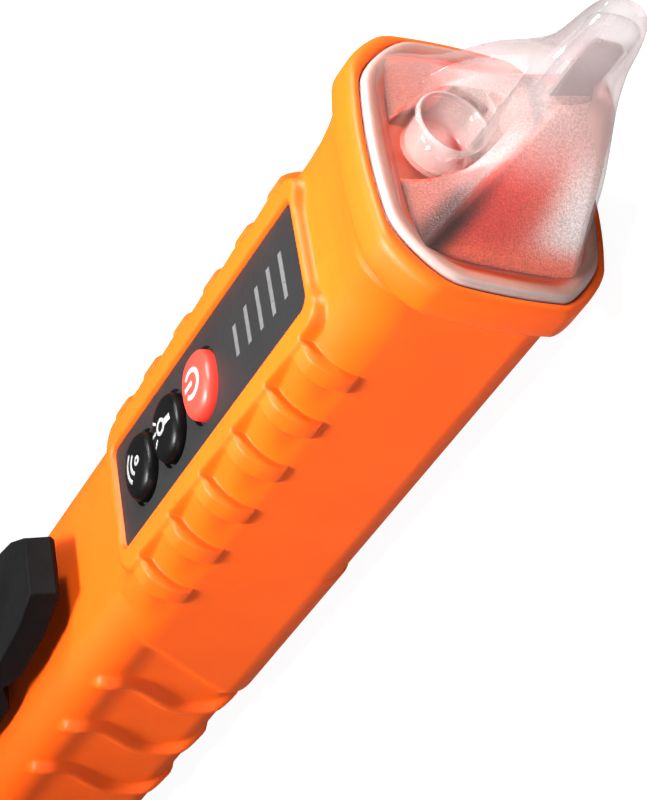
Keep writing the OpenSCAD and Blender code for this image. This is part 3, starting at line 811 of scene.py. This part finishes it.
def build_cap():
    # x, half width, z0, z1, top radius, bottom radius: round bore, spigot, shoulder, start of the outer shell
    mid = 10.4
    bore = [(x, r, mid - r, mid + r, r, r)
            for x, r in ((-77.8, 5.55), (-77.75, 5.6), (-70, 5.6), (-61.3, 5.6), (-61.05, 5.8))]
    rows = np.array(bore + [
        (-61, 6.1, mid - 6.0, mid + 6.0, 5.4, 5.4),
        (-61, 7.0, 4.3, 16.5, 2.5, 2.5), (-61.1, 7.2, 4.1, 16.7, 2.4, 2.4),
        (-61.4, 7.3, 4, 16.8, 2.4, 2.4), (-66.0, 7.3, 4, 16.8, 2.4, 2.4),
        (-66.1, 7.4, 3.9, 16.9, 2.4, 2.4), (-66.1, 9.8, 0.4, 18.8, 3.8, 3.8),
        (-66.18, 10.05, 0.15, 19.05, 3.9, 3.9), (-66.4, CAP_HALF, 0, CAP_TOP, CAP_R, CAP_R)])
    outer = np.arange(-66.8, -76.01, -0.2)
    tail = np.array([
        (-76.4, 10.0, 0.14, 19.0, 4, 4), (-77.5, 9.3, 0.62, 18.45, 4, 4),
        (-78.6, 8.72, 1.04, 17.9, 4, 4), (-79.3, 8.35, 1.32, 17.5, 3.9, 3.9),
        (-79.7, 8.0, 1.62, 17.15, 3.7, 3.7), (-79.92, 7.55, 2.05, 16.7, 3.4, 3.4),
        (-80, 7.0, 2.6, 16.1, 3, 3), (-80, 4.0, 5.4, 13.2, 2, 2)])
    shell = np.column_stack([outer, np.full((len(outer), 5), (CAP_HALF, 0.0, CAP_TOP, CAP_R, CAP_R))])
    X, Y, Z, NY, NZ = section_rings(*np.concatenate([rows, shell, tail]).T)
    on = np.zeros((len(X), 1))
    on[len(rows):len(rows) + len(outer)] = 1
    # grip grooves round the cap's sides
    grip_x, groove_pitch = -71.0, 1.9
    wave = np.clip(np.cos(2 * np.pi * (X - grip_x) / groove_pitch), 0, 1) ** 1.5
    wave = wave * smooth(4.0, 3.6, np.abs(X - grip_x))
    dip = 0.32 * wave * on * smooth(0.85, 1.0, np.abs(NY)) * smooth(5.5, 4.6, np.abs(Z - 9.6))
    ob = form("cap_form", *loft(np.stack([X, Y - NY * dip, Z - NZ * dip], -1)))
    tool = prism("slot_form", [(-77.7, 8.9), (-60, 8.9), (-60, 11.9), (-77.7, 11.9)], 5.0, 7.05)
    me = baked(ob, cut_with(tool))
    bpy.data.objects.remove(tool)
    bpy.data.objects.remove(ob)
    make_piece("cap_shell", me, CAP, "battery_cap", ["end_cap"], True)
    me.set_sharp_from_angle(angle=math.radians(40))
    # ears for the clip's pivot
    ear_r, bore_r = 2.2, 0.95
    ear = [(HINGE_X + ear_r * math.cos(a), HINGE_Z + ear_r * math.sin(a))
           for a in np.linspace(0, math.pi, 25)]
    ear = [(HINGE_X + 2.4, 18.6)] + ear + [(HINGE_X - 2.4, 18.6)]
    bore = [(HINGE_X + bore_r * math.cos(a), HINGE_Z + bore_r * math.sin(a))
            for a in np.linspace(0, 2 * np.pi, 32, endpoint=False)]
    for side, y0, y1 in (("left", -6.3, -4.3), ("right", 4.3, 6.3)):
        ob, tool = prism("ear_form", ear, y0, y1), prism("bore_form", bore, y0 - 1, y1 + 1)
        rounded_piece("cap_ear_" + side, ob, tool, "DIFFERENCE", CAP, "battery_cap", 0.14)


build_clip()
build_cap()


# ---------------------------------------------------------------- finishes of the inner parts

def metal(name, color, rough):
    return material(name, color, rough, [c * 1.12 for c in color], vary=900, grain=6000, bump=0.004,
                    rough_vary=0.1, Metallic=1.0)


inner = {
    "torch_led": material("led_clear", (0.78, 0.76, 0.62), 0.12, (0.84, 0.82, 0.70), bump=0.002,
                          Transmission_Weight=0.4),
    "alarm_led": material("led_red", (0.55, 0.02, 0.015), 0.15, (0.65, 0.03, 0.02), bump=0.002,
                          Transmission_Weight=0.3),
    "light_guide": BAR,
    "power_plunger": material("plunger_white", (0.62, 0.62, 0.60), 0.4, (0.68, 0.68, 0.66)),
    "power_switch": metal("switch_metal", (0.62, 0.61, 0.58), 0.35),
    "main_board": material("board_green", (0.012, 0.10, 0.035), 0.3, (0.02, 0.16, 0.055), vary=700,
                           grain=1800),
    "board_screws": metal("screw_steel", (0.55, 0.55, 0.56), 0.3),
    "controller_chip": material("chip_black", (0.012, 0.012, 0.013), 0.55, (0.02, 0.02, 0.021), vary=1500,
                                bump=0.01),
    "buzzer": material("buzzer_black", (0.02, 0.02, 0.021), 0.35, (0.028, 0.028, 0.029), bump=0.01),
    "board_tray": material("tray_dark", (0.035, 0.035, 0.037), 0.5, (0.045, 0.045, 0.047)),
    "battery_tube": material("tube_dark", (0.03, 0.03, 0.031), 0.5, (0.04, 0.04, 0.041)),
    "front_contact": metal("contact_nickel", (0.66, 0.63, 0.56), 0.3),
    "battery_front": material("cell_sleeve", (0.05, 0.07, 0.11), 0.28, (0.07, 0.09, 0.13), vary=250,
                              bump=0.004, Coat_Weight=0.5),
}
same = {"bar_led_%d" % i: "alarm_led" for i in range(1, len(BARS) + 1)}
same.update(torch_plunger="power_plunger", range_plunger="power_plunger", torch_switch="power_switch",
            range_switch="power_switch", battery_rear="battery_front", return_strip="front_contact",
            cap_contact="front_contact")
for node in list(inner) + list(same):
    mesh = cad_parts[node].data
    mesh.materials.clear()
    mesh.materials.append(inner[same.get(node, node)])


# ---------------------------------------------------------------- camera, light, floor

FILL = 0.12  # strength of the white surroundings
GLOW = 0.95  # the floor as the camera sees it
LIGHTS = [  # name, place, size, power, spread, aim
    ("key", (0.07, -0.105, 0.43), 0.12, 0.21, 29, (0.056, 0, 0.01)),
    ("front", (0.38, 0.28, 0.30), 0.09, 0.09, 20, (0.068, 0, 0.01)),
    ("side", (0.25, -0.60, 0.16), 0.4, 0.58, 120, (0.03, 0, 0.01)),
    ("top", (-0.05, 0.02, 0.6), 0.4, 0.9, 160, (0, 0, 0.01))]


def white_to_camera(nt, shader, white, out):
    """The camera sees plain white; other rays see the dimmer shader."""
    path = nt.nodes.new("ShaderNodeLightPath")
    mix = nt.nodes.new("ShaderNodeMixShader")
    nt.links.new(path.outputs["Is Camera Ray"], mix.inputs["Fac"])
    nt.links.new(shader, mix.inputs[1])
    nt.links.new(white, mix.inputs[2])
    nt.links.new(mix.outputs["Shader"], out.inputs["Surface"])


def build_stage():
    bpy.ops.mesh.primitive_plane_add(size=4, location=(0, 0, -0.0002))
    floor = bpy.context.object
    floor.name = "floor"
    pale = material("floor_pale", (0.14, 0.14, 0.14), 0.7, (0.15, 0.15, 0.15), vary=8, grain=300,
                    Specular_IOR_Level=0.1)
    nt = pale.node_tree
    glow = nt.nodes.new("ShaderNodeEmission")
    glow.inputs["Strength"].default_value = GLOW
    both = nt.nodes.new("ShaderNodeAddShader")
    plain = nt.nodes["Principled BSDF"].outputs["BSDF"]
    nt.links.new(plain, both.inputs[0])
    nt.links.new(glow.outputs["Emission"], both.inputs[1])
    white_to_camera(nt, plain, both.outputs["Shader"], nt.nodes["Material Output"])
    floor.data.materials.append(pale)
    world = bpy.data.worlds.new("studio")
    world.use_nodes = True
    nt = world.node_tree
    dim = nt.nodes["Background"]
    dim.inputs["Color"].default_value = (1, 1, 1, 1)
    dim.inputs["Strength"].default_value = FILL
    bright = nt.nodes.new("ShaderNodeBackground")
    bright.inputs["Strength"].default_value = 1
    bright.inputs["Color"].default_value = (1, 1, 1, 1)
    white_to_camera(nt, dim.outputs["Background"], bright.outputs["Background"], nt.nodes["World Output"])
    bpy.context.scene.world = world
    for name, place, size, power, spread, aim in LIGHTS:
        data = bpy.data.lights.new(name, "AREA")
        data.size = size
        data.energy = power
        data.spread = math.radians(spread)
        ob = scene_object(name, data)
        ob.location = place
        ob.rotation_euler = (Vector(aim) - Vector(place)).to_track_quat("-Z", "Y").to_euler()
    cam = bpy.data.cameras.new("camera")
    cam.lens = 126.55
    cam.sensor_width = 36
    cam.clip_start = 0.01
    ob = scene_object("camera", cam)
    ob.location = (0.19102, -0.12738, 0.10720)
    ob.rotation_euler = [math.radians(a) for a in (18.348, 62.721, -18.162)]
    bpy.context.scene.camera = ob
    bpy.context.scene.view_settings.view_transform = "Standard"


build_stage()
